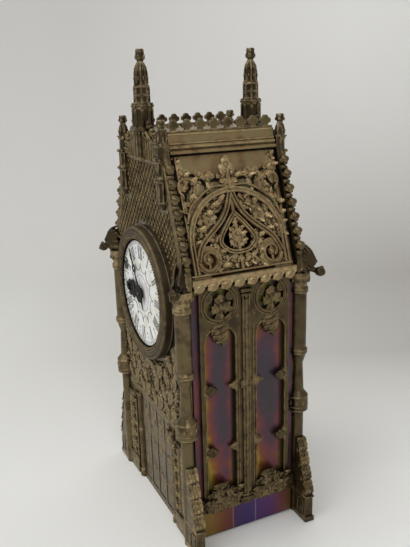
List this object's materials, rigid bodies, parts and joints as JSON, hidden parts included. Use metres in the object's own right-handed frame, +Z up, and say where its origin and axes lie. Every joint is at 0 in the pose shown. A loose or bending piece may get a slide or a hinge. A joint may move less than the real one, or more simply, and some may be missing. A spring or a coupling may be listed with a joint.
{
  "type": "gothic cathedral table clock",
  "caption": "Cast bronze cathedral-shaped table clock with traceried sides, pierced roof, enamel dial, hands, back-wound drum movement and a hinged rear door.",
  "frame": {"origin": "middle of the footprint, on the ground under the feet", "axes": "+Z up, the dial faces -Y, +X is to the right of someone who faces the dial"},
  "size_m": [0.114, 0.083, 0.245],
  "materials": {
    "bronze": "dark olive brown patina",
    "tinted_sheet": "heat tinted sheet",
    "steel": "plain steel",
    "brass": "lacquered brass",
    "black_steel": "blackened steel",
    "enamel": "white enamel"
  },
  "bodies": {
    "case": {"front_facade": "bronze", "rear_facade": "bronze", "left_tracery": "bronze", "right_tracery": "bronze", "left_roof_panel": "bronze", "right_roof_panel": "bronze", "roof_deck": "bronze", "left_cresting": "bronze", "right_cresting": "bronze", "front_spire": "bronze", "rear_spire": "bronze", "front_left_pinnacle": "bronze", "front_right_pinnacle": "bronze", "rear_left_pinnacle": "bronze", "rear_right_pinnacle": "bronze", "front_left_gargoyle": "bronze", "front_right_gargoyle": "bronze", "rear_left_gargoyle": "bronze", "rear_right_gargoyle": "bronze", "bezel": "bronze", "base_plate": "bronze", "left_sheet": "tinted_sheet", "right_sheet": "tinted_sheet", "case_screws": "steel", "tie_rods": "steel", "tie_nuts": "steel", "door_hinge_pin": "steel", "click_spring": "steel", "drum_case": "brass", "drum_back": "brass", "front_plate": "brass", "back_plate": "brass", "plate_pillars": "brass", "balance_cock": "brass", "hairspring": "black_steel", "dial": "enamel"},
    "minute_hand": {"centre_arbor": "steel", "cannon_pinion": "brass", "minute_hand": "black_steel", "hand_nut": "brass", "set_knob": "brass"},
    "minute_wheel": {"minute_wheel": "brass"},
    "hour_hand": {"hour_wheel": "brass", "hour_hand": "black_steel"},
    "fourth_wheel": {"fourth_wheel": "brass"},
    "escape_wheel": {"escape_wheel": "brass"},
    "third_wheel": {"third_wheel": "brass"},
    "centre_wheel": {"centre_wheel": "brass"},
    "barrel": {"mainspring_barrel": "brass", "barrel_cover": "brass", "mainspring": "steel"},
    "winding": {"barrel_arbor": "steel", "ratchet_wheel": "steel", "winding_key": "brass"},
    "click": {"click": "steel"},
    "pallet_lever": {"pallet_lever": "steel"},
    "balance": {"balance_wheel": "brass"},
    "rear_door": {"rear_door": "bronze", "door_knob": "brass"}
  },
  "joints": [
    {"name": "minute_hand_spin", "type": "hinge", "parent": "case", "child": "minute_hand", "pos_m": [0, 0, 0.1243], "axis": [0, 1, 0], "continuous": true},
    {"name": "minute_wheel_spin", "type": "hinge", "parent": "case", "child": "minute_wheel", "pos_m": [-0.012, 0, 0.1243], "axis": [0, 1, 0], "continuous": true},
    {"name": "hour_hand_spin", "type": "hinge", "parent": "case", "child": "hour_hand", "pos_m": [0, 0, 0.1243], "axis": [0, 1, 0], "continuous": true},
    {"name": "fourth_wheel_spin", "type": "hinge", "parent": "case", "child": "fourth_wheel", "pos_m": [0.01645, 0, 0.13152], "axis": [0, 1, 0], "continuous": true},
    {"name": "escape_wheel_spin", "type": "hinge", "parent": "case", "child": "escape_wheel", "pos_m": [0.01464, 0, 0.12128], "axis": [0, 1, 0], "continuous": true},
    {"name": "third_wheel_spin", "type": "hinge", "parent": "case", "child": "third_wheel", "pos_m": [0.0063, 0, 0.13521], "axis": [0, 1, 0], "continuous": true},
    {"name": "centre_wheel_spin", "type": "hinge", "parent": "case", "child": "centre_wheel", "pos_m": [0, 0, 0.1243], "axis": [0, 1, 0], "continuous": true},
    {"name": "barrel_spin", "type": "hinge", "parent": "case", "child": "barrel", "pos_m": [-0.01103, 0, 0.11327], "axis": [0, 1, 0], "continuous": true},
    {"name": "winding_turn", "type": "hinge", "parent": "case", "child": "winding", "pos_m": [-0.01103, 0, 0.11327], "axis": [0, -1, 0], "range_deg": [0, 2340]},
    {"name": "click_lift", "type": "hinge", "parent": "case", "child": "click", "pos_m": [-0.01578, 0, 0.1215], "axis": [0, -1, 0], "range_deg": [0, 8]},
    {"name": "lever_swing", "type": "hinge", "parent": "case", "child": "pallet_lever", "pos_m": [0.01645, 0, 0.11451], "axis": [0, 1, 0], "range_deg": [-5, 5]},
    {"name": "balance_swing", "type": "hinge", "parent": "case", "child": "balance", "pos_m": [0.01308, 0, 0.10617], "axis": [0, 1, 0], "range_deg": [-220, 220]},
    {"name": "rear_door_hinge", "type": "hinge", "parent": "case", "child": "rear_door", "pos_m": [-0.032, 0.03355, 0.1243], "axis": [0, 0, 1], "range_deg": [0, 110]}
  ],
  "couplings": [
    {"joint": "minute_wheel_spin", "follows": "minute_hand_spin", "ratio": -0.33333},
    {"joint": "hour_hand_spin", "follows": "minute_hand_spin", "ratio": 0.083333},
    {"joint": "escape_wheel_spin", "follows": "fourth_wheel_spin", "ratio": -9},
    {"joint": "third_wheel_spin", "follows": "fourth_wheel_spin", "ratio": -0.125},
    {"joint": "centre_wheel_spin", "follows": "fourth_wheel_spin", "ratio": 0.015625},
    {"joint": "barrel_spin", "follows": "fourth_wheel_spin", "ratio": -0.0028409}
  ]
}
